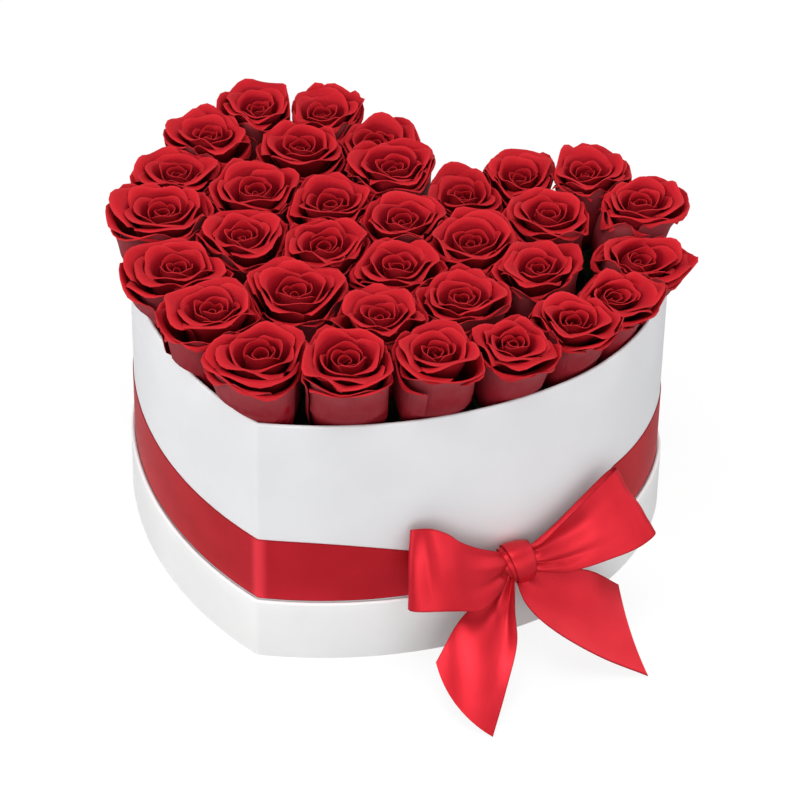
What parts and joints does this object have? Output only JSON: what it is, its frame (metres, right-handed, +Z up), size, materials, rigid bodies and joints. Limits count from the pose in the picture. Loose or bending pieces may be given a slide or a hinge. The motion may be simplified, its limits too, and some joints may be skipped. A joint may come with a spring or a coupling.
{
  "type": "flower box",
  "caption": "Heart-shaped paper-wrapped board box standing in its upturned lid, packed with cut red roses in lined foam and tied with a satin ribbon and bow.",
  "frame": {"origin": "on the floor, under the middle of the heart's outline", "axes": "+Z up; -Y towards the point of the heart; +X towards the flank that carries the bow"},
  "size_m": [0.3378, 0.2681, 0.188],
  "materials": {
    "cover_paper": "smooth matte white wrap",
    "lid_paper": "smooth matte white wrap",
    "lining_paper": "plain white lining paper",
    "grey_board": "uncoated grey board",
    "liner_film": "clear waterproof film",
    "floral_foam": "soaked green floral foam",
    "satin_ribbon": "red satin",
    "rose_petal": "velvety red petals on a green stem"
  },
  "bodies": {
    "lid": {"lid_panel_cover": "lid_paper", "lid_panel_board": "grey_board", "lid_wall_board": "grey_board", "lid_wall_wrap": "lid_paper"},
    "box": {"box_base_cover": "cover_paper", "box_base_board": "grey_board", "box_wall_board": "grey_board", "box_wall_wrap": "cover_paper", "box_wall_lining": "lining_paper", "liner_tray": "liner_film", "foam_left": "floral_foam", "foam_right": "floral_foam", "foam_point": "floral_foam", "ribbon_band": "satin_ribbon", "bow_knot": "satin_ribbon", "bow_left_loop": "satin_ribbon", "bow_right_loop": "satin_ribbon", "bow_left_tail": "satin_ribbon", "bow_right_tail": "satin_ribbon"},
    "rose_01": {"rose_01": "rose_petal"},
    "rose_02": {"rose_02": "rose_petal"},
    "rose_03": {"rose_03": "rose_petal"},
    "rose_04": {"rose_04": "rose_petal"},
    "rose_05": {"rose_05": "rose_petal"},
    "rose_06": {"rose_06": "rose_petal"},
    "rose_07": {"rose_07": "rose_petal"},
    "rose_08": {"rose_08": "rose_petal"},
    "rose_09": {"rose_09": "rose_petal"},
    "rose_10": {"rose_10": "rose_petal"},
    "rose_11": {"rose_11": "rose_petal"},
    "rose_12": {"rose_12": "rose_petal"},
    "rose_13": {"rose_13": "rose_petal"},
    "rose_14": {"rose_14": "rose_petal"},
    "rose_15": {"rose_15": "rose_petal"},
    "rose_16": {"rose_16": "rose_petal"},
    "rose_17": {"rose_17": "rose_petal"},
    "rose_18": {"rose_18": "rose_petal"},
    "rose_19": {"rose_19": "rose_petal"},
    "rose_20": {"rose_20": "rose_petal"},
    "rose_21": {"rose_21": "rose_petal"},
    "rose_22": {"rose_22": "rose_petal"},
    "rose_23": {"rose_23": "rose_petal"},
    "rose_24": {"rose_24": "rose_petal"},
    "rose_25": {"rose_25": "rose_petal"},
    "rose_26": {"rose_26": "rose_petal"},
    "rose_27": {"rose_27": "rose_petal"},
    "rose_28": {"rose_28": "rose_petal"},
    "rose_29": {"rose_29": "rose_petal"},
    "rose_30": {"rose_30": "rose_petal"},
    "rose_31": {"rose_31": "rose_petal"},
    "rose_32": {"rose_32": "rose_petal"},
    "rose_33": {"rose_33": "rose_petal"}
  },
  "joints": [
    {"name": "box_lift", "type": "slide", "parent": "lid", "child": "box", "axis": [0, 0, 1], "range_m": [0, 0.05]},
    {"name": "rose_01_lift", "type": "slide", "parent": "box", "child": "rose_01", "axis": [0, 0, 1], "range_m": [0, 0.11]},
    {"name": "rose_02_lift", "type": "slide", "parent": "box", "child": "rose_02", "axis": [0, 0, 1], "range_m": [0, 0.11]},
    {"name": "rose_03_lift", "type": "slide", "parent": "box", "child": "rose_03", "axis": [0, 0, 1], "range_m": [0, 0.11]},
    {"name": "rose_04_lift", "type": "slide", "parent": "box", "child": "rose_04", "axis": [0, 0, 1], "range_m": [0, 0.11]},
    {"name": "rose_05_lift", "type": "slide", "parent": "box", "child": "rose_05", "axis": [0, 0, 1], "range_m": [0, 0.11]},
    {"name": "rose_06_lift", "type": "slide", "parent": "box", "child": "rose_06", "axis": [0, 0, 1], "range_m": [0, 0.11]},
    {"name": "rose_07_lift", "type": "slide", "parent": "box", "child": "rose_07", "axis": [0, 0, 1], "range_m": [0, 0.11]},
    {"name": "rose_08_lift", "type": "slide", "parent": "box", "child": "rose_08", "axis": [0, 0, 1], "range_m": [0, 0.11]},
    {"name": "rose_09_lift", "type": "slide", "parent": "box", "child": "rose_09", "axis": [0, 0, 1], "range_m": [0, 0.11]},
    {"name": "rose_10_lift", "type": "slide", "parent": "box", "child": "rose_10", "axis": [0, 0, 1], "range_m": [0, 0.11]},
    {"name": "rose_11_lift", "type": "slide", "parent": "box", "child": "rose_11", "axis": [0, 0, 1], "range_m": [0, 0.11]},
    {"name": "rose_12_lift", "type": "slide", "parent": "box", "child": "rose_12", "axis": [0, 0, 1], "range_m": [0, 0.11]},
    {"name": "rose_13_lift", "type": "slide", "parent": "box", "child": "rose_13", "axis": [0, 0, 1], "range_m": [0, 0.11]},
    {"name": "rose_14_lift", "type": "slide", "parent": "box", "child": "rose_14", "axis": [0, 0, 1], "range_m": [0, 0.11]},
    {"name": "rose_15_lift", "type": "slide", "parent": "box", "child": "rose_15", "axis": [0, 0, 1], "range_m": [0, 0.11]},
    {"name": "rose_16_lift", "type": "slide", "parent": "box", "child": "rose_16", "axis": [0, 0, 1], "range_m": [0, 0.11]},
    {"name": "rose_17_lift", "type": "slide", "parent": "box", "child": "rose_17", "axis": [0, 0, 1], "range_m": [0, 0.11]},
    {"name": "rose_18_lift", "type": "slide", "parent": "box", "child": "rose_18", "axis": [0, 0, 1], "range_m": [0, 0.11]},
    {"name": "rose_19_lift", "type": "slide", "parent": "box", "child": "rose_19", "axis": [0, 0, 1], "range_m": [0, 0.11]},
    {"name": "rose_20_lift", "type": "slide", "parent": "box", "child": "rose_20", "axis": [0, 0, 1], "range_m": [0, 0.11]},
    {"name": "rose_21_lift", "type": "slide", "parent": "box", "child": "rose_21", "axis": [0, 0, 1], "range_m": [0, 0.11]},
    {"name": "rose_22_lift", "type": "slide", "parent": "box", "child": "rose_22", "axis": [0, 0, 1], "range_m": [0, 0.11]},
    {"name": "rose_23_lift", "type": "slide", "parent": "box", "child": "rose_23", "axis": [0, 0, 1], "range_m": [0, 0.11]},
    {"name": "rose_24_lift", "type": "slide", "parent": "box", "child": "rose_24", "axis": [0, 0, 1], "range_m": [0, 0.11]},
    {"name": "rose_25_lift", "type": "slide", "parent": "box", "child": "rose_25", "axis": [0, 0, 1], "range_m": [0, 0.11]},
    {"name": "rose_26_lift", "type": "slide", "parent": "box", "child": "rose_26", "axis": [0, 0, 1], "range_m": [0, 0.11]},
    {"name": "rose_27_lift", "type": "slide", "parent": "box", "child": "rose_27", "axis": [0, 0, 1], "range_m": [0, 0.11]},
    {"name": "rose_28_lift", "type": "slide", "parent": "box", "child": "rose_28", "axis": [0, 0, 1], "range_m": [0, 0.11]},
    {"name": "rose_29_lift", "type": "slide", "parent": "box", "child": "rose_29", "axis": [0, 0, 1], "range_m": [0, 0.11]},
    {"name": "rose_30_lift", "type": "slide", "parent": "box", "child": "rose_30", "axis": [0, 0, 1], "range_m": [0, 0.11]},
    {"name": "rose_31_lift", "type": "slide", "parent": "box", "child": "rose_31", "axis": [0, 0, 1], "range_m": [0, 0.11]},
    {"name": "rose_32_lift", "type": "slide", "parent": "box", "child": "rose_32", "axis": [0, 0, 1], "range_m": [0, 0.11]},
    {"name": "rose_33_lift", "type": "slide", "parent": "box", "child": "rose_33", "axis": [0, 0, 1], "range_m": [0, 0.11]}
  ]
}
